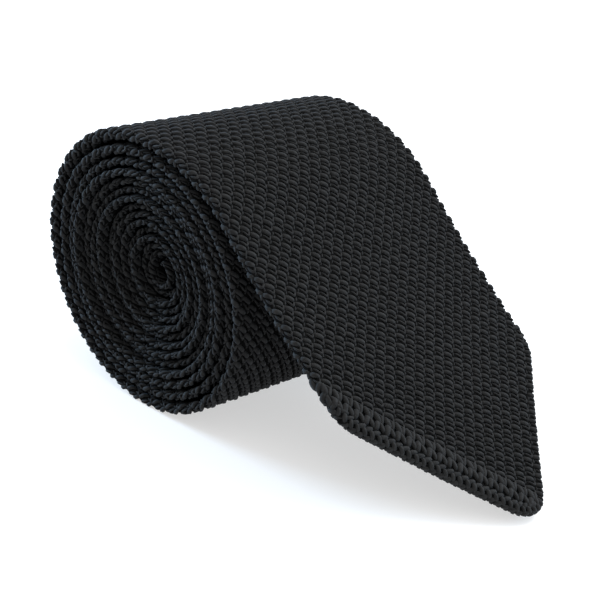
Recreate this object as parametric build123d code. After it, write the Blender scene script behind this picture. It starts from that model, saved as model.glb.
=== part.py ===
from build123d import *
import math
import os

# A knitted necktie, rolled up from its tail, with the pointed blade end left
# free so that it runs down from the crest of the roll to the floor.
# Frame: X is the axis of the roll, -Y is the side the free end points to, Z is up.
# The origin is the centre of the flat patch that the roll rests on.
# Millimetres throughout.

# ---- driving dimensions --------------------------------------------------
BLADE_WIDTH = 85.0          # across the blade where its pointed end begins
TAIL_BLUNTNESS = 2.5        # half the width of the tail's very end
LEFT_TAPER = 9.0            # how far the left edge has come in at the tail
RIGHT_TAPER = 25.0          # how far the right edge has come in at the tail
TIP_ROUNDING = 10.0         # radius of the point of the blade
CORNER_ROUNDING = 4.0       # radius of the two corners where the point begins
LEAST_ROUNDING = 1.0        # the same corners on pieces that lie further in, at least

CREST_HEIGHT = 64.0         # top of the roll
SOLE_FLATTENING = 0.35      # how far the roll's own weight flattens its sole
LEAN = 0.265                # sideways lean of the roll per unit of height
SOLE_SETBACK = 0.57         # brings the middle of the resting patch to the origin
OUTER_PITCH = 3.9           # turn to turn, at the outside of the roll
CORE_PITCH = 1.8            # turn to turn, near the core
PITCH_DECAY = 1.8           # turns over which the pitch settles to the core's
OUTER_GAP = 0.6             # air between turns at the outside
CORE_GAP = 0.25             # air between turns near the core
CORE_RADIUS = 1.7           # radius of the innermost fold

LIFT_OFF_RADIUS = 45.5      # bend of the free end as it leaves the crest
STEEPEST_SLOPE = 39.5       # degrees, where the free end leaves the roll behind
TIP_SLOPE = 27.0            # degrees, at the point of the blade
HINGE_DISTANCE = 14.0       # from the crest to the line the free end bends about
HINGE_GAP = 0.4             # between the wound cloth and the free end

BLADE_TURNS = 3.0           # turns of the roll that are blade
NECK_TURNS = 7.0            # turns at which the neck ends and the tail begins
WALL_SHARE = 0.3            # one layer of knit, as a share of the tie's thickness
SEAM_OPENING = 0.9          # between the folded edges that meet down the back
SEAM_GAP = 1.2              # between two shells, filled by the joining seam
CLEARANCE = 0.06            # between an inner piece and the shell around it
TIPPING_LENGTH = 62.0       # from the point of the blade to the tipping's end
TIPPING_MARGIN = 5.0        # from the blade's edge to the tipping
THREAD = 0.5                # sewing thread
TACK_WIDTH = 1.2            # a few stitches side by side
BAR_TACK_LENGTH = 5.0
BAR_TACK_DISTANCE = 24.0    # from the hinge line to the tack that closes the blade's back
TAIL_TACK_DISTANCE = 66.0   # from the very end of the tail to its own tack
TRIM_THICKNESS = 0.25       # keeper loop and label
LOOP_DISTANCE = 62.0        # from the hinge line to the keeper loop
LOOP_LENGTH = 12.0
LOOP_HALF_WIDTH = 27.0
LABEL_DISTANCE = 132.0      # from the hinge line to the care label
LABEL_LENGTH = 28.0
LABEL_HALF_WIDTH = 17.0
END_MARGIN = 3.0            # from the tail's end to the tipping inside it
STATIONS_PER_TURN = 16      # points on each turn that the curves pass through
STATIONS_OVER_CREST = 4     # points from the hinge line to the crest
STATION_MARGIN = 0.5        # no station lies nearer than this to the end of a piece
HALVINGS = 40               # steps of the search for where the roll touches the floor

# ---- worked out from the driving dimensions --------------------------------
BLADE_THICKNESS = OUTER_PITCH - OUTER_GAP
CREST_LINE = CREST_HEIGHT - BLADE_THICKNESS / 2


def pitch_at(turn):
    return CORE_PITCH + (OUTER_PITCH - CORE_PITCH) * math.exp(-turn / PITCH_DECAY)


def lean_factor(turn):
    """How the lean widens or narrows the distance from one turn to the next."""
    angle = math.pi / 2 - 2 * math.pi * turn
    return 1 / math.hypot(math.cos(angle), math.sin(angle) - LEAN * math.cos(angle))


def thickness_at(turn):
    gap = CORE_GAP + (OUTER_GAP - CORE_GAP) * math.exp(-turn / PITCH_DECAY)
    return pitch_at(turn) * lean_factor(turn) - gap


def shrink_at(turn):
    """How much smaller the roll's radius is after this many turns inwards."""
    slack = (OUTER_PITCH - CORE_PITCH) * PITCH_DECAY
    return CORE_PITCH * turn + slack * (1 - math.exp(-turn / PITCH_DECAY))


# The crest and the sole of the outer turn fix the radius and the centre's height.
SOLE_LINE = thickness_at(0.5) / 2 - SOLE_FLATTENING
ROLL_RADIUS = (CREST_LINE - SOLE_LINE + shrink_at(0.5)) / 2
CENTRE_HEIGHT = CREST_LINE - ROLL_RADIUS


def spiral_point(turn):
    """The tie's middle surface in the roll; turn 0 is the crest, and it winds inwards."""
    radius = ROLL_RADIUS - shrink_at(turn)
    angle = math.pi / 2 - 2 * math.pi * turn
    z = CENTRE_HEIGHT + radius * math.sin(angle)
    y = radius * math.cos(angle) + LEAN * z - SOLE_SETBACK
    return y, z


def last_turn():
    turn = 0.0
    step = 1.0 / STATIONS_PER_TURN
    while ROLL_RADIUS - shrink_at(turn + step) > CORE_RADIUS:
        turn += step
    return turn


TAIL_TURNS = last_turn()
CREST = spiral_point(0.0)

# The free end is two arcs: over the crest, and then slowly flattening to the floor.
STEEP = math.radians(STEEPEST_SLOPE)
SHALLOW = math.radians(TIP_SLOPE)
# Rounding shortens the point in plan, and the middle surface is set to bring its underside to 0.
ROUNDED_OFF = TIP_ROUNDING * (1 / math.sin(math.atan(1 / math.cos(SHALLOW))) - 1)
TIP_LINE = BLADE_THICKNESS / 2 / math.cos(SHALLOW) - ROUNDED_OFF * math.tan(SHALLOW)
LIFT_OFF_LENGTH = LIFT_OFF_RADIUS * STEEP
RUN_DROP = CREST[1] - TIP_LINE - LIFT_OFF_RADIUS * (1 - math.cos(STEEP))
RUN_RADIUS = RUN_DROP / (math.cos(SHALLOW) - math.cos(STEEP))
RUN_LENGTH = RUN_RADIUS * (STEEP - SHALLOW)
FREE_LENGTH = LIFT_OFF_LENGTH + RUN_LENGTH
POINT_LENGTH = BLADE_WIDTH / 2


def free_point(distance, lift=0.0):
    """A point of the free end, at this distance from the crest and lift off its middle."""
    if distance < LIFT_OFF_LENGTH:
        slope = distance / LIFT_OFF_RADIUS
        y = CREST[0] - LIFT_OFF_RADIUS * math.sin(slope)
        z = CREST[1] - LIFT_OFF_RADIUS * (1 - math.cos(slope))
    else:
        slope = STEEP - (distance - LIFT_OFF_LENGTH) / RUN_RADIUS
        y = CREST[0] - LIFT_OFF_RADIUS * math.sin(STEEP)
        y -= RUN_RADIUS * (math.sin(STEEP) - math.sin(slope))
        z = CREST[1] - LIFT_OFF_RADIUS * (1 - math.cos(STEEP))
        z -= RUN_RADIUS * (math.cos(slope) - math.cos(STEEP))
    return y - lift * math.sin(slope), z + lift * math.cos(slope)


def make_stations():
    """Places along the wound tie, from the hinge over the crest and in to the core.

    The turn is negative on the free end's side of the crest.
    """
    stations = []
    for index in range(STATIONS_OVER_CREST):
        distance = HINGE_DISTANCE * (1 - index / STATIONS_OVER_CREST)
        y, z = free_point(distance)
        turn = -distance / FREE_LENGTH
        stations.append({"turn": turn, "y": y, "z": z, "thickness": BLADE_THICKNESS})
    count = round(TAIL_TURNS * STATIONS_PER_TURN)
    for index in range(count + 1):
        turn = index / STATIONS_PER_TURN
        y, z = spiral_point(turn)
        stations.append({"turn": turn, "y": y, "z": z, "thickness": thickness_at(turn)})
    travelled = FREE_LENGTH - HINGE_DISTANCE
    for index, station in enumerate(stations):
        before = stations[max(index - 1, 0)]
        after = stations[min(index + 1, len(stations) - 1)]
        travelled += math.hypot(station["y"] - before["y"], station["z"] - before["z"])
        station["length"] = travelled
        along = (after["y"] - before["y"], after["z"] - before["z"])
        size = math.hypot(*along)
        station["out"] = (-along[1] / size, along[0] / size)
    tie_length = stations[-1]["length"]
    for station in stations:
        share = max(station["turn"], 0.0) / TAIL_TURNS
        left = -BLADE_WIDTH / 2 + LEFT_TAPER * share
        right = BLADE_WIDTH / 2 - RIGHT_TAPER * share
        middle = (left + right) / 2
        reach = tie_length - station["length"] + TAIL_BLUNTNESS
        station["left"] = max(left, middle - reach)
        station["right"] = min(right, middle + reach)
    return stations


STATIONS = make_stations()
TIE_LENGTH = STATIONS[-1]["length"]


def stretch(first_length, last_length):
    """The stations between two lengths along the tie, ends worked out in between."""
    chosen = [station_at(first_length)]
    for station in STATIONS:
        if first_length + STATION_MARGIN < station["length"] < last_length - STATION_MARGIN:
            chosen.append(station)
    chosen.append(station_at(last_length))
    return chosen


def station_at(length):
    for before, after in zip(STATIONS, STATIONS[1:]):
        if before["length"] <= length <= after["length"]:
            share = (length - before["length"]) / (after["length"] - before["length"])
            turn = before["turn"] + share * (after["turn"] - before["turn"])
            station = {}
            for name in ("thickness", "length", "left", "right"):
                station[name] = before[name] + share * (after[name] - before[name])
            if turn > 0:
                station["y"], station["z"] = spiral_point(turn)
            else:
                station["y"], station["z"] = free_point(FREE_LENGTH - length)
            out = [before["out"][i] + share * (after["out"][i] - before["out"][i]) for i in (0, 1)]
            size = math.hypot(*out)
            station["out"] = (out[0] / size, out[1] / size)
            station["turn"] = turn
            return station
    raise ValueError("no station at this length")


def length_at_turn(turn):
    for before, after in zip(STATIONS, STATIONS[1:]):
        if before["turn"] <= turn <= after["turn"]:
            share = (turn - before["turn"]) / (after["turn"] - before["turn"])
            return before["length"] + share * (after["length"] - before["length"])
    raise ValueError("no station at this turn")


def wound_solid(stations, section):
    """A solid that follows the roll; section(station) lists its corners as (x, out)."""
    rows = []
    for station in stations:
        row = []
        for x, out in section(station):
            y = station["y"] + out * station["out"][0]
            z = station["z"] + out * station["out"][1]
            row.append((x, y, z))
        rows.append(row)
    corners = len(rows[0])
    straight = len(rows) == 2
    places = [station["length"] for station in stations]
    edges = []
    for i in range(corners):
        points = [Vector(row[i]) for row in rows]
        if straight:
            edges.append(Edge.make_line(*points))
        else:
            edges.append(Edge.make_spline(points, parameters=places))
    heights = [out for _, out in section(stations[0])]
    faces = []
    for i in range(corners):
        following = (i + 1) % corners
        if straight and heights[i] == heights[following]:
            faces.append(flat_face(rows[0][i], rows[0][following], rows[1][following], rows[1][i]))
        else:
            faces.append(Face.make_surface_from_curves(edges[i], edges[following]))
    faces += [flat_face(*rows[0]), flat_face(*rows[-1])]
    return Solid(Shell(faces))


def flat_face(*corners):
    return Face(Wire.make_polygon([Vector(corner) for corner in corners], close=True))


def middle_of(station):
    return (station["left"] + station["right"]) / 2


def shell_section(station):
    """A flattened tube of knit whose edges nearly meet down the middle of the back."""
    half = station["thickness"] / 2
    wall = station["thickness"] * WALL_SHARE
    left = station["left"]
    right = station["right"]
    seam_left = middle_of(station) - SEAM_OPENING / 2
    seam_right = middle_of(station) + SEAM_OPENING / 2
    return [
        (seam_right, -half),
        (right, -half),
        (right, half),
        (left, half),
        (left, -half),
        (seam_left, -half),
        (seam_left, -half + wall),
        (left + wall, -half + wall),
        (left + wall, half - wall),
        (right - wall, half - wall),
        (right - wall, -half + wall),
        (seam_right, -half + wall),
    ]


def box_section(left, right, low, high):
    return [(right, low), (right, high), (left, high), (left, low)]


def lining_section(station):
    wall = station["thickness"] * WALL_SHARE + CLEARANCE
    half = station["thickness"] / 2 - wall
    return box_section(station["left"] + wall, station["right"] - wall, -half, half)


def slip_stitch_section(station):
    half = station["thickness"] / 2
    wall = station["thickness"] * WALL_SHARE
    reach = SEAM_OPENING / 2 - CLEARANCE
    middle = middle_of(station)
    return box_section(middle - reach, middle + reach, -half + CLEARANCE, -half + wall - CLEARANCE)


def joining_seam_section(station):
    half = station["thickness"] / 2
    wall = station["thickness"] * WALL_SHARE
    return box_section(station["left"] + wall, station["right"] - wall, half - wall, half)


def under_blade_section(left, right):
    """A thin strip that lies against the back of the blade, clear of the next turn."""
    def section(station):
        top = -station["thickness"] / 2 - CLEARANCE
        middle = middle_of(station)
        return box_section(middle + left, middle + right, top - TRIM_THICKNESS, top)
    return section


def tacked_strip(start, length, half_width):
    """A strip sewn across the blade's back, and the two tacks that hold its ends."""
    strip = wound_solid(stretch(start, start + length), under_blade_section(-half_width, half_width))
    span = stretch(start + length / 4, start + length * 3 / 4)
    near = half_width + CLEARANCE
    far = near + TACK_WIDTH
    tacks = [
        wound_solid(span, under_blade_section(-far, -near)),
        wound_solid(span, under_blade_section(near, far)),
    ]
    return strip, Compound(tacks)


def outer_height(length):
    """Height above the floor of the roll's outer surface."""
    station = station_at(length)
    return station["z"] + station["thickness"] / 2 * station["out"][1]


def touchdown(above, below):
    """The length at which the outer surface meets the floor, found between two others."""
    for _ in range(HALVINGS):
        middle = (above + below) / 2
        if outer_height(middle) > 0:
            above = middle
        else:
            below = middle
    return (above + below) / 2


def soled_solid(start, end, section):
    """A wound solid with a flat sole, where the roll's own weight presses it down."""
    halfway = length_at_turn(1 / 2)
    sole_start = touchdown(length_at_turn(1 / 4), halfway)
    sole_end = touchdown(length_at_turn(3 / 4), halfway)
    upper = wound_solid(stretch(start, sole_start), section)
    sole = wound_solid([station_at(sole_start), station_at(sole_end)], section)
    lower = wound_solid(stretch(sole_end, end), section)
    return upper + sole + lower


# ---- the free end ----------------------------------------------------------
def free_plate(low, high, first, last, outline):
    """The part of the free end between two lifts and two distances, inside an outline."""
    rims = []
    for lift in (low, high):
        start = free_point(first, lift)
        bend = free_point(LIFT_OFF_LENGTH, lift)
        end = free_point(last, lift)
        pieces = []
        if first < LIFT_OFF_LENGTH:
            middle = free_point((first + LIFT_OFF_LENGTH) / 2, lift)
            pieces.append(ThreePointArc(to_side(start), to_side(middle), to_side(bend)))
        else:
            bend = start
        middle = free_point((max(first, LIFT_OFF_LENGTH) + last) / 2, lift)
        pieces.append(ThreePointArc(to_side(bend), to_side(middle), to_side(end)))
        rims.append((pieces, start, end))
    ends = [Line(to_side(rims[0][i]), to_side(rims[1][i])) for i in (1, 2)]
    side = Face(Wire(rims[0][0] + rims[1][0] + ends))
    band = extrude(side, amount=BLADE_WIDTH, both=True, dir=(1, 0, 0))
    return (band & outline).solid()


def to_side(point):
    return (0, point[0], point[1])


def plan_outline(inset, first):
    """A tall prism over the pointed end's plan, drawn in from the edge by inset."""
    half = BLADE_WIDTH / 2 - inset
    reach = math.sqrt(2) * inset
    corner_y = free_point(FREE_LENGTH - POINT_LENGTH - inset * (math.sqrt(2) - 1))[0]
    tip_y = free_point(FREE_LENGTH - reach)[0]
    back_y = free_point(first)[0] + BLADE_THICKNESS
    plan = Polygon(
        (-half, back_y), (-half, corner_y), (0, tip_y), (half, corner_y), (half, back_y),
        align=None,
    )
    tip = corners_at(plan, tip_y)
    plan = fillet(tip, max(TIP_ROUNDING - inset, LEAST_ROUNDING))
    shoulders = corners_at(plan, corner_y)
    plan = fillet(shoulders, max(CORNER_ROUNDING - inset, LEAST_ROUNDING))
    return extrude(plan, amount=2 * CREST_HEIGHT)


def corners_at(plan, y):
    return [vertex for vertex in plan.vertices() if math.isclose(vertex.Y, y, abs_tol=0.01)]


def free_end_pieces():
    """The hollow shell of the free end, what fills it, and the panel behind its point."""
    half = BLADE_THICKNESS / 2
    wall = BLADE_THICKNESS * WALL_SHARE
    below = -half - wall
    within = -half + wall * 3 / 2
    start = HINGE_DISTANCE + HINGE_GAP
    tipping_start = FREE_LENGTH - TIPPING_LENGTH
    beyond = FREE_LENGTH + BLADE_THICKNESS
    skin = plan_outline(0.0, start)
    slit = Box(SEAM_OPENING, 2 * FREE_LENGTH, 4 * CREST_HEIGHT)
    shell = free_plate(-half, half, start, FREE_LENGTH, skin)
    hollow = free_plate(-half + wall, half - wall, start - wall, beyond, plan_outline(wall, start))
    opening = free_plate(below, within, tipping_start, beyond, plan_outline(TIPPING_MARGIN, start))
    back_seam = free_plate(below, within, start - wall, tipping_start + wall, slit)
    pieces = {"blade_shell_end": shell - hollow - opening - back_seam}
    inset = wall + CLEARANCE
    pieces["blade_interlining_end"] = free_plate(
        -half + inset, half - inset, start, beyond, plan_outline(inset, start)
    )
    seam_inset = TIPPING_MARGIN + CLEARANCE
    tipping_inset = seam_inset + THREAD + CLEARANCE
    first = tipping_start + THREAD + 2 * CLEARANCE
    low = -half + CLEARANCE
    high = -half + wall - CLEARANCE
    pieces["blade_tipping"] = free_plate(low, high, first, beyond, plan_outline(tipping_inset, start))
    ring = free_plate(low, high, first, beyond, plan_outline(seam_inset, start))
    ring -= free_plate(
        low - wall, high + wall, first - wall, beyond, plan_outline(seam_inset + THREAD, start)
    )
    pieces["blade_edge_stitch"] = ring
    return pieces


# ---- the wound part --------------------------------------------------------
def wound_pieces():
    blade_end = length_at_turn(BLADE_TURNS)
    neck_end = length_at_turn(NECK_TURNS)
    first = STATIONS[0]["length"]
    bar_tack = first + BAR_TACK_DISTANCE
    tail_tack = TIE_LENGTH - TAIL_TACK_DISTANCE
    pieces = {}
    spans = {
        "neck_shell": (blade_end + SEAM_GAP / 2, neck_end - SEAM_GAP / 2),
        "tail_shell": (neck_end + SEAM_GAP / 2, TIE_LENGTH),
    }
    pieces["blade_shell"] = soled_solid(first, blade_end - SEAM_GAP / 2, shell_section)
    for name, (start, end) in spans.items():
        pieces[name] = wound_solid(stretch(start, end), shell_section)
    lining_end = tail_tack + BAR_TACK_LENGTH
    pieces["interlining"] = soled_solid(first, lining_end, lining_section)
    tipping = stretch(lining_end + CLEARANCE, TIE_LENGTH - END_MARGIN)
    pieces["tail_tipping"] = wound_solid(tipping, lining_section)
    pieces["slip_stitch"] = soled_solid(
        bar_tack + BAR_TACK_LENGTH + CLEARANCE, tail_tack - CLEARANCE, slip_stitch_section
    )
    for name, place in (("blade_neck_seam", blade_end), ("neck_tail_seam", neck_end)):
        span = stretch(place - THREAD, place + THREAD)
        pieces[name] = wound_solid(span, joining_seam_section)
    for name, place in (("blade_bar_tack", bar_tack), ("tail_bar_tack", tail_tack)):
        span = stretch(place, place + BAR_TACK_LENGTH)
        pieces[name] = wound_solid(span, slip_stitch_section)
    pieces["keeper_loop"], pieces["keeper_loop_tacks"] = tacked_strip(
        first + LOOP_DISTANCE, LOOP_LENGTH, LOOP_HALF_WIDTH
    )
    pieces["care_label"], pieces["care_label_tacks"] = tacked_strip(
        first + LABEL_DISTANCE, LABEL_LENGTH, LABEL_HALF_WIDTH
    )
    return pieces


def make_parts():
    pieces = wound_pieces()
    pieces.update(free_end_pieces())
    return pieces


os.makedirs("parts", exist_ok=True)
for node, solid in make_parts().items():
    export_step(solid, f"parts/{node}.step")
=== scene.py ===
import math

import bpy
import numpy as np
from mathutils import Matrix, Vector


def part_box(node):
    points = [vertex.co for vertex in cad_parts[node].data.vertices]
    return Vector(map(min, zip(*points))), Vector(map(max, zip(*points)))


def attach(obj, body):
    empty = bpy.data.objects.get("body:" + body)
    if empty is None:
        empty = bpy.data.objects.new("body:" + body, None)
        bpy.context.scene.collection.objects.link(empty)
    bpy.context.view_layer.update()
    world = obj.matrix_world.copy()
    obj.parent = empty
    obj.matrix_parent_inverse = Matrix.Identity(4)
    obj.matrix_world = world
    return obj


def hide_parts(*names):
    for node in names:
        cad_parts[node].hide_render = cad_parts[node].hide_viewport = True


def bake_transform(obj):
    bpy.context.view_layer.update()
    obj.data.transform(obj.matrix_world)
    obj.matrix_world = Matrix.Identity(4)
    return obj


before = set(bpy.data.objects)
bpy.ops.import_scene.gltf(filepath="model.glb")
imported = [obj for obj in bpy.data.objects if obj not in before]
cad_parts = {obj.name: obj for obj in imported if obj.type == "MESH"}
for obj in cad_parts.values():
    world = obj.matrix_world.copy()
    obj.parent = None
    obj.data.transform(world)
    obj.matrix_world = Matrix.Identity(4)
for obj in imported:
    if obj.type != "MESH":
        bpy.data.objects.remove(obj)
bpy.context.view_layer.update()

# A knitted necktie, rolled up from its tail, with the pointed end of its blade lying free.
# Lengths below are millimetres and are turned into metres where a mesh is made. The rolled tie
# is laid out flat first: x across it, s along it from the point of the blade, n out of its face.
MM = 0.001
RNG = np.random.default_rng(11)

# ---- driving dimensions, as the CAD model has them ---------------------------
low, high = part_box("blade_shell_end")
BLADE_WIDTH = (high.x - low.x) / MM
CREST_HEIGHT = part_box("blade_shell")[1].z / MM
LEFT_TAPER = 9.0
RIGHT_TAPER = 25.0
TAIL_BLUNTNESS = 2.5
TIP_ROUNDING = 10.0
SOLE_FLATTENING = 0.35
LEAN = 0.265
SOLE_SETBACK = 0.57
OUTER_PITCH = 3.9
CORE_PITCH = 1.8
PITCH_DECAY = 1.8
OUTER_GAP = 0.6
CORE_GAP = 0.25
CORE_RADIUS = 1.7
LIFT_OFF_RADIUS = 45.5
STEEPEST_SLOPE = math.radians(39.5)
TIP_SLOPE = math.radians(27.0)
BLADE_TURNS = 3.0
NECK_TURNS = 7.0

BLADE_THICKNESS = OUTER_PITCH - OUTER_GAP
POINT_LENGTH = BLADE_WIDTH / 2

# ---- the knit ------------------------------------------------------------------
RIB_SPACING = 3.0           # across the ribs, which run at 45 degrees to the tie
STITCH_PITCH = 3.0          # along a rib
YARN_DEPTH = 0.85           # how far the yarn stands proud of the ground it is knitted on
YARN_LINE = 0.35            # from the ground to the middle of the yarn
BOUND_SPACING = 2.1         # along the bound edge, which follows the point's left side
FIRST_LEAF_ROW = 4.8        # from that side to the first row of leaf stitches
SECOND_LEAF_ROW = 7.1       # from that side to the second
POINT_BAND = 8.9            # from that side to the ribs
BOUND_ROWS = [              # how far round the edge from its middle, and the lean of the stitches
    (2.4, 0.8), (1.2, -0.8), (0.0, 0.8), (-1.2, -0.8), (-2.4, 0.8), (-3.6, -0.8),
]
LEAF_ROWS = [               # from that side, stitch length and width, shift along the row, lean
    (FIRST_LEAF_ROW, 3.6, 1.7, -0.55, -0.40),
    (FIRST_LEAF_ROW, 3.2, 1.35, 0.85, 0.36),
    (SECOND_LEAF_ROW, 3.5, 1.65, -0.50, 0.40),
    (SECOND_LEAF_ROW, 3.2, 1.25, 0.85, -0.30),
]
SIDE_BAND = 3.2             # the rib that follows the point's right side
SEAM_BAND = 1.4             # bare ground beside the seam down the back
INNER_BAND = 3.5            # knit that shows at the edges of the inner turns
WOBBLE = 2.6                # how far an inner turn's near edge strays outwards
EYE_FULLNESS = 3.0          # how much of the near edge of the tail's end shows in the eye
TIPPING_LENGTH = 62.0
TIPPING_MARGIN = 5.0
FINE_RIB = 1.5              # rib to rib on the panel that backs the point
FINE_ROW = 1.8
CORE_DEPTH = 0.35           # from the ground of the knit in to the wool core
PANEL_THICKNESS = 0.35
PANEL_DEPTH = 0.35          # from the back of the tie in to the middle of the panel's ribs
FINE_RIB_HEIGHT = 0.16
FINE_ROW_HEIGHT = 0.05
HEM_SPACING = 2.2
MOST_STITCHES = 1400        # in one piece of ribs

# ---- how the pieces are divided ---------------------------------------------------
SPLIT_TURN = 0.3            # where the cloth of the free end stops
OUTER_TURNS = 1.15          # turns whose whole face can be seen

# ---- the camera and the lamps, in degrees, metres and watts -------------------------
CAMERA_AZIMUTH = 32.9
CAMERA_ELEVATION = 22.0
CAMERA_ROLL = 13.25
CAMERA_TARGET = (0, -0.02125, 0.0319)
CAMERA_DISTANCE = 0.445
CAMERA_SHIFT_RIGHT = 0.0102
CAMERA_SHIFT_UP = 0.0028
CAMERA_LENS = 107.9         # millimetres
LAMP_AIM = (0, -0.02, 0.03)
LAMPS = [                   # name, place, power, size, colour
    ("key", (0.45, -0.10, 0.62), 4.5, 0.5, (1, 1, 1)),
    ("left_rim", (-0.17, 0.48, 0.13), 5.5, 0.2, (0.5, 0.74, 1)),
    ("right_rim", (0.42, -0.42, 0.22), 1.5, 0.25, (0.5, 0.75, 1)),
]
FLOOR_REACH = 3.0
# the floor's glow is painted light: it lightens the shadows the tie casts on the floor
FLOOR_GLOW = 0.55


# ---- the shape of the rolled tie -------------------------------------------------
def pitch_at(turn):
    return CORE_PITCH + (OUTER_PITCH - CORE_PITCH) * np.exp(-turn / PITCH_DECAY)


def shrink_at(turn):
    slack = (OUTER_PITCH - CORE_PITCH) * PITCH_DECAY
    return CORE_PITCH * turn + slack * (1 - np.exp(-turn / PITCH_DECAY))


def thickness_at(turn):
    angle = math.pi / 2 - 2 * math.pi * turn
    leaning = 1 / np.hypot(np.cos(angle), np.sin(angle) - LEAN * np.cos(angle))
    gap = CORE_GAP + (OUTER_GAP - CORE_GAP) * np.exp(-turn / PITCH_DECAY)
    return pitch_at(turn) * leaning - gap


CREST_LINE = CREST_HEIGHT - BLADE_THICKNESS / 2
SOLE_LINE = thickness_at(0.5) / 2 - SOLE_FLATTENING
ROLL_RADIUS = (CREST_LINE - SOLE_LINE + shrink_at(0.5)) / 2
CENTRE_HEIGHT = CREST_LINE - ROLL_RADIUS
ROUNDED_OFF = TIP_ROUNDING * (1 / math.sin(math.atan(1 / math.cos(TIP_SLOPE))) - 1)
TIP_LINE = BLADE_THICKNESS / 2 / math.cos(TIP_SLOPE) - ROUNDED_OFF * math.tan(TIP_SLOPE)
LIFT_OFF_LENGTH = LIFT_OFF_RADIUS * STEEPEST_SLOPE
RUN_DROP = CREST_LINE - TIP_LINE - LIFT_OFF_RADIUS * (1 - math.cos(STEEPEST_SLOPE))
RUN_RADIUS = RUN_DROP / (math.cos(TIP_SLOPE) - math.cos(STEEPEST_SLOPE))
FREE_LENGTH = LIFT_OFF_LENGTH + RUN_RADIUS * (STEEPEST_SLOPE - TIP_SLOPE)


def wound_line(turn):
    radius = ROLL_RADIUS - shrink_at(turn)
    angle = math.pi / 2 - 2 * math.pi * turn
    z = CENTRE_HEIGHT + radius * np.sin(angle)
    return radius * np.cos(angle) + LEAN * z - SOLE_SETBACK, z


def free_line(distance):
    crest_y, crest_z = wound_line(0.0)
    slope = np.where(
        distance < LIFT_OFF_LENGTH,
        distance / LIFT_OFF_RADIUS,
        STEEPEST_SLOPE - (distance - LIFT_OFF_LENGTH) / RUN_RADIUS,
    )
    bend = np.minimum(distance / LIFT_OFF_RADIUS, STEEPEST_SLOPE)
    y = crest_y - LIFT_OFF_RADIUS * np.sin(bend)
    z = crest_z - LIFT_OFF_RADIUS * (1 - np.cos(bend))
    past = distance > LIFT_OFF_LENGTH
    y -= np.where(past, RUN_RADIUS * (math.sin(STEEPEST_SLOPE) - np.sin(slope)), 0.0)
    z -= np.where(past, RUN_RADIUS * (np.cos(slope) - math.cos(STEEPEST_SLOPE)), 0.0)
    return y, z


def last_turn():
    turns = np.linspace(0, 20, 4001)
    return turns[np.argmin(np.abs(ROLL_RADIUS - shrink_at(turns) - CORE_RADIUS))]


TAIL_TURNS = last_turn()


def lay_out():
    """Tables, by length along the tie, of where its middle surface runs in the roll."""
    distance = np.linspace(FREE_LENGTH, 0, 400)[:-1]
    turn = np.linspace(0, TAIL_TURNS, int(TAIL_TURNS * 240))
    free_y, free_z = free_line(distance)
    wound_y, wound_z = wound_line(turn)
    y = np.concatenate([free_y, wound_y])
    z = np.concatenate([free_z, wound_z])
    steps = np.hypot(np.diff(y), np.diff(z))
    s = np.concatenate([[0.0], np.cumsum(steps)])
    along_y, along_z = np.gradient(y, s), np.gradient(z, s)
    size = np.hypot(along_y, along_z)
    turns = np.concatenate([-distance / FREE_LENGTH, turn])
    thickness = np.where(turns < 0, BLADE_THICKNESS, thickness_at(np.maximum(turns, 0)))
    share = np.maximum(turns, 0) / TAIL_TURNS
    left = -BLADE_WIDTH / 2 + LEFT_TAPER * share
    right = BLADE_WIDTH / 2 - RIGHT_TAPER * share
    middle = (left + right) / 2
    reach = s[-1] - s + TAIL_BLUNTNESS
    sway = 0.5 + 0.35 * np.sin(2.3 * turns + 0.6) + 0.15 * np.sin(s / 9.0) * np.sin(s / 31.0)
    stray = np.clip(turns - 0.7, 0, 1) * WOBBLE * sway
    return {
        "s": s, "y": y, "z": z, "turn": turns, "thickness": thickness,
        "out_y": -along_z / size, "out_z": along_y / size,
        "left": np.maximum(np.maximum(left - stray, -BLADE_WIDTH / 2), middle - EYE_FULLNESS * reach),
        "right": np.minimum(right, middle + reach),
    }


TIE = lay_out()
TIE_LENGTH = TIE["s"][-1]
CREST_S = FREE_LENGTH


def tie(name, s):
    return np.interp(s, TIE["s"], TIE[name])


def length_at(turn):
    return float(np.interp(turn, TIE["turn"], TIE["s"]))


def place(x, s, n):
    """From the flat tie to the rolled one, in metres. Beyond the point it carries on straight."""
    beyond = np.minimum(s, 0.0)
    y = tie("y", s) + tie("out_y", s) * n + beyond * math.cos(TIP_SLOPE)
    z = tie("z", s) + tie("out_z", s) * n + beyond * math.sin(TIP_SLOPE)
    return np.stack([x, y, z], -1) * MM


# ---- meshes --------------------------------------------------------------------
def make_piece(name, vertices, faces, material):
    """A smooth mesh; a face whose last two corners are the same is a triangle."""
    kept = np.ones(faces.shape, bool)
    kept[:, 3] = faces[:, 2] != faces[:, 3]
    corners = faces[kept]
    sizes = kept.sum(1)
    mesh = bpy.data.meshes.new(name)
    mesh.vertices.add(len(vertices))
    mesh.vertices.foreach_set("co", vertices.astype(np.float32).ravel())
    mesh.loops.add(len(corners))
    mesh.loops.foreach_set("vertex_index", corners.astype(np.int32))
    mesh.polygons.add(len(faces))
    mesh.polygons.foreach_set("loop_start", (np.cumsum(sizes) - sizes).astype(np.int32))
    mesh.polygons.foreach_set("use_smooth", np.ones(len(faces), bool))
    mesh.update(calc_edges=True)
    mesh.materials.append(material)
    piece = bpy.data.objects.new(name, mesh)
    bpy.context.scene.collection.objects.link(piece)
    return piece


def volume(points, faces):
    """Six times what the faces enclose; it is negative where they are inside out."""
    a, b, c, d = (points[faces[:, i]] for i in range(4))
    return float(np.sum(a * np.cross(b, c)) + np.sum(a * np.cross(c, d)))


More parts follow.
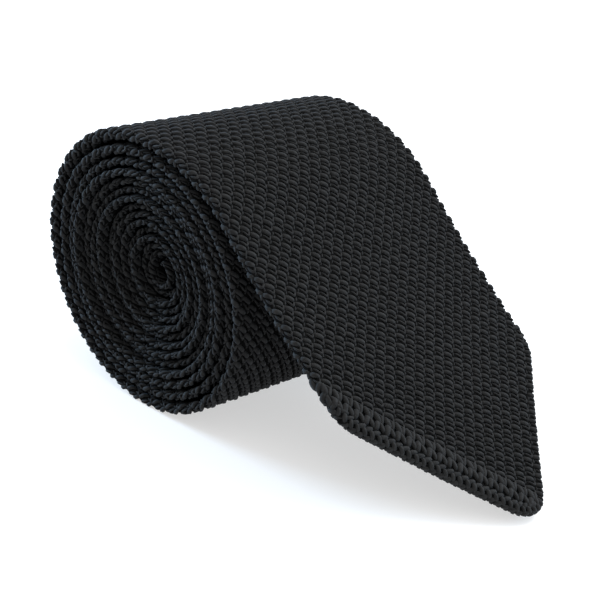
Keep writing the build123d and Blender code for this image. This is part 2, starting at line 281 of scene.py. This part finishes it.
def grid_faces(rows, columns, closed_columns=False):
    row = np.arange(rows - 1)[:, None]
    column = np.arange(columns if closed_columns else columns - 1)[None, :]
    right = (column + 1) % columns
    corners = [row * columns + column, (row + 1) * columns + column,
               (row + 1) * columns + right, row * columns + right]
    return np.stack([c + 0 * (row + column) for c in corners], -1).reshape(-1, 4)


def strand(line, side, rise, sides=6):
    """A short length of yarn in stitch coordinates: rings round a line, closed at both ends."""
    line = np.asarray(line, float)
    along = np.gradient(line, axis=0)
    along /= np.linalg.norm(along, axis=1, keepdims=True)
    up = np.array([0.0, 0.0, 1.0]) - along * along[:, 2:3]
    up /= np.linalg.norm(up, axis=1, keepdims=True)
    across = np.cross(along, up)
    turn = np.linspace(0, 2 * math.pi, sides, endpoint=False)
    rings = line[:, None, :]
    rings = rings + across[:, None, :] * (side[:, None] * np.cos(turn))[:, :, None]
    rings = rings + up[:, None, :] * (rise[:, None] * np.sin(turn))[:, :, None]
    count = len(line) * sides
    vertices = np.concatenate([rings.reshape(-1, 3), line[:1], line[-1:]])
    quads = grid_faces(len(line), sides, closed_columns=True)
    ring = np.arange(sides)
    after = (ring + 1) % sides
    first = np.stack([ring, after, np.full(sides, count), np.full(sides, count)], -1)
    last = (len(line) - 1) * sides
    end = np.stack([last + after, last + ring, np.full(sides, count + 1), np.full(sides, count + 1)], -1)
    return vertices, np.concatenate([quads, first, end])


def smooth_line(points, count):
    """A smooth curve of count points that passes close to the given ones."""
    points = np.asarray(points, float)
    knots = np.linspace(0, 1, len(points))
    dense = np.stack([np.interp(np.linspace(0, 1, 60), knots, points[:, i]) for i in range(3)], -1)
    kernel = np.array([1, 4, 6, 4, 1]) / 16
    for _ in range(6):
        padded = np.concatenate([dense[:1], dense[:1], dense, dense[-1:], dense[-1:]])
        dense = np.stack([np.convolve(padded[:, i], kernel, "valid") for i in range(3)], -1)
    picks = np.linspace(0, len(dense) - 1, count).round().astype(int)
    return dense[picks]


def leaf_strand():
    """The fat strand of a rib's stitch, which goes straight across the rib."""
    q, p = RIB_SPACING, STITCH_PITCH
    line = smooth_line([
        (-0.12 * p, -0.58 * q, -0.55), (-0.14 * p, -0.43 * q, 0.04), (-0.18 * p, -0.07 * q, 0.30),
        (-0.22 * p, 0.26 * q, 0.14), (-0.24 * p, 0.46 * q, -0.50),
    ], 9)
    swell = np.sin(np.linspace(0.10, 0.90, len(line)) * math.pi) ** 0.5
    return strand(line, 0.62 * swell, 0.50 * swell)


def loop_strand():
    """The thin strand below it, which crosses the rib too, then turns and climbs back up."""
    q, p = RIB_SPACING, STITCH_PITCH
    line = smooth_line([
        (0.14 * p, -0.36 * q, -0.50), (0.20 * p, -0.20 * q, 0.02), (0.26 * p, 0.06 * q, 0.22),
        (0.35 * p, 0.29 * q, 0.24), (0.20 * p, 0.41 * q, 0.24), (-0.04 * p, 0.38 * q, 0.22),
        (-0.24 * p, 0.35 * q, -0.2),
    ], 10)
    swell = np.sin(np.linspace(0.12, 0.88, len(line)) * math.pi) ** 0.35
    return strand(line, 0.32 * swell, 0.32 * swell, sides=5)


def bar_strand():
    """The short upright strand between one rib and the next."""
    q, p = RIB_SPACING, STITCH_PITCH
    line = smooth_line([
        (0.04 * p, -0.40 * q, -0.65), (0.18 * p, -0.43 * q, -0.16), (0.36 * p, -0.44 * q, 0.02),
        (0.52 * p, -0.43 * q, -0.16), (0.66 * p, -0.40 * q, -0.65),
    ], 5)
    swell = np.array([0.5, 0.9, 1.0, 0.9, 0.5])
    return strand(line, 0.27 * swell, 0.27 * swell, sides=5)


def leaf_stitch(length, width):
    """A plump stitch, pointed at both ends, lying along the first axis."""
    t = np.linspace(-1, 1, 9)
    line = np.stack([t * length / 2, 0.07 * length * np.sin(2 * t), 0.28 - 0.42 * t ** 4], -1)
    swell = 0.1 + 0.9 * (1 - t * t) ** 0.6
    return strand(line, width / 2 * swell, 0.42 * width * swell)


def along_edge(template):
    """A rib's stitch turned so that its rib follows the point's right side."""
    vertices, faces = template
    return vertices[:, [1, 0, 2]] * (-1, -1, 1), faces


def repeat(template, count, jitter=0.04, turn=0.0):
    """Copies of a stitch in its own coordinates, each a little different and turned by an angle."""
    vertices, faces = template
    copies = vertices[None] * (1 + RNG.normal(0, jitter, (count, 1, 1)))
    angle = turn + RNG.normal(0, jitter, count)
    cos, sin = np.cos(angle)[:, None], np.sin(angle)[:, None]
    shift = RNG.normal(0, jitter, (count, 1, 2)) * 1.5
    a = copies[:, :, 0] * cos - copies[:, :, 1] * sin + shift[:, :, 0]
    b = copies[:, :, 0] * sin + copies[:, :, 1] * cos + shift[:, :, 1]
    step = np.arange(count)[:, None, None] * len(vertices)
    return a, b, copies[:, :, 2], (faces[None] + step).reshape(-1, 4)


class Stitches:
    """Collects stitches that become one piece."""

    def __init__(self):
        self.vertices = []
        self.faces = []
        self.count = 0

    def add(self, points, faces):
        points = points.reshape(-1, 3)
        if volume(points, faces) < 0:
            faces = faces[:, [1, 0, 3, 2]]
        self.vertices.append(points)
        self.faces.append(faces + self.count)
        self.count += len(points)

    def make(self, name, material):
        return make_piece(name, np.concatenate(self.vertices), np.concatenate(self.faces), material)


# ---- the outline of the flat tie ---------------------------------------------------
def outline():
    """The tie's edge as points (x, s), up the left side from the tail, round the point, and back."""
    corner = POINT_LENGTH
    far = TIE["s"][TIE["s"] > corner + 3]
    left = np.stack([tie("left", far), far], -1)[::-1]
    right = np.stack([tie("right", far), far], -1)
    tangent = TIP_ROUNDING
    centre = TIP_ROUNDING * math.sqrt(2)
    sweep = np.linspace(-math.pi / 4, math.pi / 4, 24)
    tip = np.stack([TIP_ROUNDING * np.sin(sweep), centre - TIP_ROUNDING * np.cos(sweep)], -1)
    run = np.linspace(corner - 2, tangent, 60)[:-1]
    near = np.stack([-run, run], -1)
    points = np.concatenate([left, near, tip, np.stack([run, run], -1)[::-1], right])
    steps = np.hypot(*np.diff(points, axis=0).T)
    e = np.concatenate([[0.0], np.cumsum(steps)])
    even = np.arange(0, e[-1], 0.5)
    x, s = np.interp(even, e, points[:, 0]), np.interp(even, e, points[:, 1])
    kernel = np.ones(7) / 7
    x[3:-3], s[3:-3] = np.convolve(x, kernel, "valid"), np.convolve(s, kernel, "valid")
    dx, ds = np.gradient(x), np.gradient(s)
    size = np.hypot(dx, ds)
    return {"e": even, "x": x, "s": s, "in_x": -ds / size, "in_s": dx / size}


EDGE = outline()


def edge(name, e):
    return np.interp(e, EDGE["e"], EDGE[name])


def flatness(s):
    """How far the yarn stands up: 1 in the blade, less in the thin inner turns."""
    return np.clip(tie("thickness", s) / BLADE_THICKNESS, 0.3, 1.0)


def ground_half(s):
    return tie("thickness", s) / 2 - YARN_DEPTH * flatness(s)


def flat_half(s):
    """Half the width of the tie's flat face, between its two rounded folds."""
    return (tie("right", s) - tie("left", s) - tie("thickness", s)) / 2


def fold_length(s):
    return math.pi * (ground_half(s) + YARN_LINE * flatness(s))


def around_tie(u, s, height):
    """A point of the knit. u goes round the tie from the middle of its face, over a fold, to
    the middle of its back; height is above the ground."""
    ground = ground_half(s)
    out = ground + height * flatness(s)
    beyond = np.abs(u) - flat_half(s)
    angle = np.clip(beyond / fold_length(s), 0, 1) * math.pi
    past = np.maximum(beyond - fold_length(s), 0)
    reach = np.minimum(np.abs(u), flat_half(s))
    x = (tie("left", s) + tie("right", s)) / 2 + np.sign(u) * (reach + out * np.sin(angle) - past)
    return place(x, s, out * np.cos(angle))


# ---- building the knit ---------------------------------------------------------------
def rib_cells(first, last, keep):
    """Where the stitches of the ribs lie between two lengths, wherever keep(u, s) says."""
    reach = BLADE_WIDTH + BLADE_THICKNESS * 2
    start = SIDE_BAND + RIB_SPACING / 2
    root = math.sqrt(2)
    stitches_up = np.arange(int(-(last + reach) / root / STITCH_PITCH), int(reach / STITCH_PITCH))
    ribs_over = np.arange(-int(reach), int((last + 2 * reach) / root / RIB_SPACING))
    a = STITCH_PITCH * stitches_up
    b = -start - RIB_SPACING * ribs_over
    a, b = (grid.ravel() for grid in np.meshgrid(a, b))
    u, s = (b - a) / root, -(a + b) / root
    chosen = (s > first) & (s <= last) & keep(u, s)
    return a[chosen], b[chosen]


def add_ribs(stitches, cells, template, lean=0.0):
    a, b, height, faces = repeat(template, len(cells[0]), turn=lean)
    a = a + cells[0][:, None]
    b = b + cells[1][:, None]
    stitches.add(around_tie((b - a) / math.sqrt(2), -(a + b) / math.sqrt(2), height), faces)


def edge_row(stitches, first, last, across, spacing, template, turn=0.0):
    """A row of stitches along the outline between two of its lengths. across is measured round
    the edge, from its middle towards the face, or towards the back where it is negative."""
    middle = np.arange(first, last, spacing)
    a, b, height, faces = repeat(template, len(middle), turn=turn)
    e = middle[:, None] + b
    around = across + a
    s = edge("s", e)
    half = tie("thickness", s) / 2
    radius = ground_half(s) + YARN_LINE
    angle = np.clip(around / radius, -math.pi / 2, math.pi / 2)
    past = np.maximum(np.abs(around) - math.pi / 2 * radius, 0)
    out = ground_half(s) + height
    inset = half - out * np.cos(angle) + past
    x = edge("x", e) + edge("in_x", e) * inset
    stitches.add(place(x, s + edge("in_s", e) * inset, out * np.sin(angle)), faces)


def point_half(s, inset):
    """Half the width of the point, drawn in from its outline by an inset."""
    radius = TIP_ROUNDING - inset
    centre = TIP_ROUNDING * math.sqrt(2)
    rounded = np.sqrt(np.maximum(radius ** 2 - (centre - s) ** 2, 0))
    return np.where(s < centre - radius / math.sqrt(2), rounded, s - inset * math.sqrt(2))


def ground_tube(name, first, last, material, step, depth=0.0):
    """The cloth under the stitches: a flattened closed tube with rounded edges. At a depth
    inside that cloth it is the wool core."""
    s = np.linspace(first, last, int((last - first) / step))[:, None]
    half = ground_half(s) - depth * flatness(s)
    drawn_in = (YARN_DEPTH + depth * 2) * flatness(s)
    pointed = point_half(s, drawn_in)
    left = np.maximum(tie("left", s) + drawn_in, -pointed)
    right = np.minimum(tie("right", s) - drawn_in, pointed)
    middle = (left + right) / 2
    reach = np.maximum((right - left) / 2 - half, 0.05)
    turn = np.linspace(0, math.pi, 9)[None, :]
    flat = np.linspace(-1, 1, 14)[None, 1:-1]
    x = np.concatenate([
        middle + reach * flat, middle + reach + half * np.sin(turn),
        middle - reach * flat, middle - reach - half * np.sin(turn),
    ], 1)
    n = np.concatenate([
        half + 0 * flat, half * np.cos(turn), -half + 0 * flat, -half * np.cos(turn),
    ], 1)
    points = place(x, s + 0 * x, n).reshape(-1, 3)
    columns = x.shape[1]
    ring = np.arange(columns)
    after = (ring + 1) % columns
    tail = (len(s) - 1) * columns
    ends = place(middle[[0, -1]], s[[0, -1]], 0 * s[[0, -1]]).reshape(-1, 3)
    first_cap = np.stack([ring, after, ring * 0 + len(points), ring * 0 + len(points)], -1)
    last_cap = np.stack([after + tail, ring + tail, ring * 0 + len(points) + 1,
                         ring * 0 + len(points) + 1], -1)
    faces = np.concatenate([grid_faces(len(s), columns, closed_columns=True), first_cap, last_cap])
    cloth = Stitches()
    cloth.add(np.concatenate([points, ends]), faces)
    return cloth.make(name, material)


# ---- materials ---------------------------------------------------------------------
def new_material(name, colour, roughness, sheen):
    material = bpy.data.materials.new(name)
    material.use_nodes = True
    shader = material.node_tree.nodes["Principled BSDF"]
    shader.inputs["Base Color"].default_value = (*colour, 1)
    shader.inputs["Roughness"].default_value = roughness
    shader.inputs["Sheen Weight"].default_value = sheen
    shader.inputs["Sheen Roughness"].default_value = 0.45
    shader.inputs["Specular IOR Level"].default_value = 0.3
    return material, material.node_tree, shader


def add_noise(tree, scale, detail=3.0):
    coordinates = tree.nodes.new("ShaderNodeTexCoord")
    noise = tree.nodes.new("ShaderNodeTexNoise")
    noise.inputs["Scale"].default_value = scale
    noise.inputs["Detail"].default_value = detail
    tree.links.new(coordinates.outputs["Object"], noise.inputs["Vector"])
    return noise


def add_ramp(tree, source, dark, light, low=0.3, high=0.7):
    ramp = tree.nodes.new("ShaderNodeValToRGB")
    ramp.color_ramp.elements[0].position = low
    ramp.color_ramp.elements[0].color = (*dark, 1)
    ramp.color_ramp.elements[1].position = high
    ramp.color_ramp.elements[1].color = (*light, 1)
    tree.links.new(source, ramp.inputs["Fac"])
    return ramp


def add_bump(tree, shader, source, strength, distance):
    bump = tree.nodes.new("ShaderNodeBump")
    bump.inputs["Strength"].default_value = strength
    bump.inputs["Distance"].default_value = distance
    tree.links.new(source, bump.inputs["Height"])
    tree.links.new(bump.outputs["Normal"], shader.inputs["Normal"])


def yarn_material(name, dark, light):
    material, tree, shader = new_material(name, light, 0.8, 0.03)
    shader.inputs["Sheen Tint"].default_value = (0.65, 0.8, 1.0, 1)
    shader.inputs["Specular IOR Level"].default_value = 0.1
    mottled = add_noise(tree, 900.0, 4.0)
    ramp = add_ramp(tree, mottled.outputs["Fac"], dark, light, 0.35, 0.65)
    tree.links.new(ramp.outputs["Color"], shader.inputs["Base Color"])
    fibre = add_noise(tree, 5200.0, 2.0)
    add_bump(tree, shader, fibre.outputs["Fac"], 0.5, 0.00012)
    return material


# The ground under the stitches is coloured darker than the yarn: painted shade in the gaps between the
# stitches.
def shaded_ground_material():
    material, tree, shader = new_material("knit_ground_painted_shade", (0.006, 0.006, 0.007), 0.95, 0.0)
    shader.inputs["Specular IOR Level"].default_value = 0.0
    noise = add_noise(tree, 1500.0, 3.0)
    ramp = add_ramp(tree, noise.outputs["Fac"], (0.003, 0.003, 0.003), (0.008, 0.008, 0.008))
    tree.links.new(ramp.outputs["Color"], shader.inputs["Base Color"])
    add_bump(tree, shader, noise.outputs["Fac"], 0.6, 0.0003)
    return material


def woven_material(name, dark, light, scale):
    material, tree, shader = new_material(name, light, 0.85, 0.05)
    shader.inputs["Specular IOR Level"].default_value = 0.1
    noise = add_noise(tree, scale, 4.0)
    ramp = add_ramp(tree, noise.outputs["Fac"], dark, light)
    tree.links.new(ramp.outputs["Color"], shader.inputs["Base Color"])
    add_bump(tree, shader, noise.outputs["Fac"], 0.5, 0.0002)
    return material


YARN = yarn_material("charcoal_yarn", (0.0115, 0.0115, 0.0115), (0.020, 0.020, 0.020))
# the knit's ground carries painted shade, darker than the yarn
SHADED_GROUND = shaded_ground_material()
LINING = woven_material("wool_lining", (0.45, 0.43, 0.39), (0.66, 0.63, 0.57), 2500.0)
TIPPING = woven_material("fine_backing", (0.008, 0.008, 0.009), (0.018, 0.018, 0.019), 4000.0)
THREAD = woven_material("sewing_thread", (0.008, 0.008, 0.009), (0.02, 0.02, 0.021), 5000.0)
LABEL = woven_material("label_tape", (0.07, 0.07, 0.074), (0.11, 0.11, 0.115), 5000.0)


# ---- the camera ----------------------------------------------------------------------
def add_camera():
    azimuth = math.radians(CAMERA_AZIMUTH)
    elevation = math.radians(CAMERA_ELEVATION)
    roll = math.radians(CAMERA_ROLL)
    ahead = Vector((math.cos(azimuth) * math.cos(elevation), math.sin(azimuth) * math.cos(elevation),
                    -math.sin(elevation)))
    level = Vector((math.sin(azimuth), -math.cos(azimuth), 0))
    up = level.cross(ahead)
    right = math.cos(roll) * level + math.sin(roll) * up
    top = -math.sin(roll) * level + math.cos(roll) * up
    aside = right * CAMERA_SHIFT_RIGHT + top * CAMERA_SHIFT_UP
    place_at = Vector(CAMERA_TARGET) - ahead * CAMERA_DISTANCE - aside
    data = bpy.data.cameras.new("camera")
    data.sensor_width = 36.0
    data.lens = CAMERA_LENS
    data.clip_start = 0.01
    camera = bpy.data.objects.new("camera", data)
    bpy.context.scene.collection.objects.link(camera)
    rows = [[right[i], top[i], -ahead[i], place_at[i]] for i in range(3)] + [[0, 0, 0, 1]]
    camera.matrix_world = Matrix(rows)
    bpy.context.scene.camera = camera


def add_lamp(name, location, power, size, colour):
    data = bpy.data.lights.new(name, "AREA")
    data.energy = power
    data.color = colour
    data.size = size
    lamp = bpy.data.objects.new(name, data)
    lamp.location = location
    lamp.rotation_euler = (Vector(LAMP_AIM) - Vector(location)).to_track_quat("-Z", "Y").to_euler()
    bpy.context.scene.collection.objects.link(lamp)


def add_world():
    world = bpy.data.worlds.new("studio")
    world.use_nodes = True
    world.node_tree.nodes["Background"].inputs["Color"].default_value = (1, 1, 1, 1)
    world.node_tree.nodes["Background"].inputs["Strength"].default_value = 1.0
    bpy.context.scene.world = world
    bpy.context.scene.view_settings.view_transform = "Standard"


def add_floor():
    mesh = bpy.data.meshes.new("floor")
    reach = FLOOR_REACH
    corners = [(-reach, -reach, 0), (reach, -reach, 0), (reach, reach, 0), (-reach, reach, 0)]
    mesh.from_pydata(corners, [], [(0, 1, 2, 3)])
    floor = bpy.data.objects.new("floor", mesh)
    bpy.context.scene.collection.objects.link(floor)
    material, tree, shader = new_material("floor_painted_glow", (0.5, 0.5, 0.5), 0.9, 0.0)
    # The floor glows as well as reflecting: painted light that lightens the tie's shadow on it.
    shader.inputs["Emission Color"].default_value = (1, 1, 1, 1)
    shader.inputs["Emission Strength"].default_value = FLOOR_GLOW
    mesh.materials.append(material)


add_camera()
add_world()
for lamp in LAMPS:
    add_lamp(*lamp)
add_floor()

# ---- where the pieces begin and end --------------------------------------------------
BLADE_SPLIT = length_at(SPLIT_TURN)
BLADE_END = length_at(BLADE_TURNS)
NECK_END = length_at(NECK_TURNS)


def bend_with_flap(piece):
    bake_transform(piece)


# ---- which stitches show -------------------------------------------------------------
def on_face(u, s):
    """The blade's face: all of it but the bound edge and leaf rows of the point."""
    left, right = (s + u) / math.sqrt(2), (s - u) / math.sqrt(2)
    clear = (left > POINT_BAND) & (right > SIDE_BAND)
    folded = np.abs(u) > flat_half(s)
    return clear & (np.abs(u) < flat_half(s) + fold_length(s) / 2) & ((s > POINT_LENGTH + 2) | ~folded)


def on_back(u, s):
    """The blade's back: a folded margin beside the tipping, then all but the seam."""
    across = np.abs(u) - flat_half(s)
    over = across > fold_length(s) / 2
    margin = across < fold_length(s) + TIPPING_MARGIN - 1.5
    full = across < fold_length(s) + flat_half(s) - SEAM_BAND
    return over & (s > POINT_LENGTH + 2) & np.where(s < TIPPING_LENGTH + 2, margin, full)


def on_wound_edge(u, s):
    """Both edges of a wound turn: a strip of its face, the fold and a strip of its back."""
    across = np.abs(u) - flat_half(s)
    return (across > -INNER_BAND) & (across < fold_length(s) + INNER_BAND)


def on_wound_face(u, s):
    return np.abs(u) < flat_half(s) + fold_length(s) + INNER_BAND


def on_blade_edge(u, s):
    """Behind the crest, where the face is already knitted: its folds and a strip of its back."""
    return on_wound_edge(u, s) & ~on_face(u, s)


# ---- the pieces ------------------------------------------------------------------------
def ribbed(name, first, last, keep):
    """Pieces of rib knit between two lengths: the fat strands, and the thin ones under them."""
    cells = rib_cells(first, last, keep)
    order = np.argsort(-(cells[0] + cells[1]))
    cells = cells[0][order], cells[1][order]
    parts = math.ceil(len(cells[0]) / MOST_STITCHES)
    pieces = []
    for part in range(parts):
        chosen = slice(part * len(order) // parts, (part + 1) * len(order) // parts)
        here = cells[0][chosen], cells[1][chosen]
        leaves, loops = Stitches(), Stitches()
        add_ribs(leaves, here, leaf_strand())
        add_ribs(loops, here, loop_strand())
        add_ribs(loops, here, bar_strand())
        pieces.append(leaves.make(f"{name}_leaves_{part + 1}", YARN))
        pieces.append(loops.make(f"{name}_loops_{part + 1}", YARN))
    return pieces


def leaf_row(stitches, distance, template, aside, lean):
    """A straight row of leaf stitches, one on each rib, at a distance from the point's left side."""
    reach = BLADE_WIDTH * math.sqrt(2)
    b = -SIDE_BAND - RIB_SPACING * (np.arange(int(reach / RIB_SPACING)) + 0.5) + aside
    a = np.full(len(b), -distance)
    u = (b - a) / math.sqrt(2)
    s = -(a + b) / math.sqrt(2)
    over_fold = flat_half(s) + fold_length(s) * 0.8
    chosen = (-u < over_fold) & (s > TIP_ROUNDING * 0.7)
    add_ribs(stitches, (a[chosen], b[chosen]), template, lean)


def point_edges():
    """The bound edge round the point, the leaf rows inside its left side, and its right rib."""
    tip = float(EDGE["e"][np.argmin(EDGE["s"])])
    side = math.sqrt(2) * POINT_LENGTH
    first, last = tip - side - 3, tip + side + 3
    bound = Stitches()
    for row, (across, lean) in enumerate(BOUND_ROWS):
        begin = first + row * BOUND_SPACING / 2
        edge_row(bound, begin, tip + 4, across, BOUND_SPACING, leaf_stitch(2.9, 1.3), lean)
    for across in (1.7, -1.3):
        for template in (leaf_strand(), loop_strand(), bar_strand()):
            edge_row(bound, tip + 3, last, across, STITCH_PITCH, along_edge(template))
    edge_row(bound, first, last, -4.5, 1.9, leaf_stitch(3.0, 1.5), 0.6)
    rows = Stitches()
    for distance, length, width, aside, lean in LEAF_ROWS:
        leaf_row(rows, distance, leaf_stitch(length, width), aside, lean)
    return [bound.make("blade_bound_edge", YARN), rows.make("blade_leaf_rows", YARN)]


def tipping_panel():
    """The finely ribbed panel that backs the point, with a closed sheet's thickness."""
    inset = TIPPING_MARGIN
    half = BLADE_WIDTH / 2 - inset
    radius = TIP_ROUNDING - inset
    centre = TIP_ROUNDING * math.sqrt(2)
    x = np.arange(-half, half + 0.01, 0.3)[None, :]
    rounded = centre - np.sqrt(np.maximum(radius ** 2 - x ** 2, 0))
    start = np.where(np.abs(x) < radius / math.sqrt(2), rounded, np.abs(x) + inset * math.sqrt(2))
    s = start + np.linspace(0, 1, 110)[:, None] * (TIPPING_LENGTH - start)
    x = x + 0 * s
    ribs = FINE_RIB_HEIGHT * np.cos(x * 2 * math.pi / FINE_RIB)
    rows = FINE_ROW_HEIGHT * np.cos(s * 2 * math.pi / FINE_ROW + x * 2 * math.pi / FINE_RIB)
    back = -BLADE_THICKNESS / 2 + PANEL_DEPTH
    outer = place(x, s, back - ribs - rows).reshape(-1, 3)
    inner = place(x, s, back + PANEL_THICKNESS + 0 * x).reshape(-1, 3)
    grid = grid_faces(*x.shape)
    index = np.arange(x.size).reshape(x.shape)
    rim = np.concatenate([index[0], index[1:, -1], index[-1, -2::-1], index[-2:0:-1, 0]])
    after = np.roll(rim, -1)
    wall = np.stack([rim, after, after + x.size, rim + x.size], -1)
    faces = np.concatenate([grid[:, ::-1], grid + x.size, wall])
    panel = Stitches()
    panel.add(np.concatenate([outer, inner]), faces)
    return panel.make("blade_tipping_panel", TIPPING)


def tipping_hem():
    """The slanted stitches that hold the panel down along the two sides of the point."""
    tip = float(EDGE["e"][np.argmin(EDGE["s"])])
    side = math.sqrt(2) * POINT_LENGTH
    hem = Stitches()
    across = -(TIPPING_MARGIN + 0.4)
    edge_row(hem, tip - side, tip + side, across, HEM_SPACING, leaf_stitch(2.2, 0.5), 0.5)
    return hem.make("blade_tipping_hem", THREAD)


def build_free_end():
    cloth = ground_tube("blade_cloth_end", TIP_ROUNDING * 0.52, BLADE_SPLIT, SHADED_GROUND, 1.5)
    knit = ribbed("blade_face", 0, BLADE_SPLIT, on_face)
    knit += ribbed("blade_back", 0, CREST_S + 4, on_back)
    knit += ribbed("blade_edge", CREST_S + 4, BLADE_SPLIT, on_blade_edge)
    knit += point_edges()
    core = ground_tube("blade_core_end", TIP_ROUNDING * 0.75, BLADE_SPLIT, LINING, 1.5, CORE_DEPTH)
    panel = tipping_panel()
    hem = tipping_hem()
    for piece, slot in [(cloth, "knit"), (core, "lining"), (panel, "tipping"), (hem, "thread")]:
        bend_with_flap(piece)
    for piece in knit:
        bend_with_flap(piece)
    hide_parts("blade_shell_end")
    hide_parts("blade_interlining_end")
    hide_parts("blade_tipping")
    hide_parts("blade_edge_stitch")


def build_wound_cloth():
    spans = {
        "blade_shell": ("blade", BLADE_SPLIT, BLADE_END),
        "neck_shell": ("neck", BLADE_END, NECK_END),
        "tail_shell": ("tail", NECK_END, TIE_LENGTH - 0.5),
    }
    outer_end = length_at(OUTER_TURNS)
    for node, (name, first, last) in spans.items():
        cloth = ground_tube(f"{name}_cloth", first, last, SHADED_GROUND, 1.0)
        knit = []
        if first < outer_end:
            knit += ribbed(f"{name}_outer", first, outer_end, on_wound_face)
        knit += ribbed(f"{name}_edges", max(first, outer_end), last, on_wound_edge)
        for piece in [cloth] + knit:
            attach(piece, "roll")
        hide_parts(node)


def build_wound_core():
    core = ground_tube("wound_core", BLADE_SPLIT + 1, TIE_LENGTH - 4, LINING, 1.5, CORE_DEPTH)
    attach(core, "roll")
    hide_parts("interlining")


build_free_end()
build_wound_cloth()
build_wound_core()

for node, material in {
    "tail_tipping": TIPPING, "slip_stitch": THREAD, "blade_neck_seam": THREAD, "neck_tail_seam": THREAD,
    "blade_bar_tack": THREAD, "tail_bar_tack": THREAD, "keeper_loop": TIPPING,
    "keeper_loop_tacks": THREAD, "care_label": LABEL, "care_label_tacks": THREAD,
}.items():
    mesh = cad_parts[node].data
    mesh.materials.clear()
    mesh.materials.append(material)
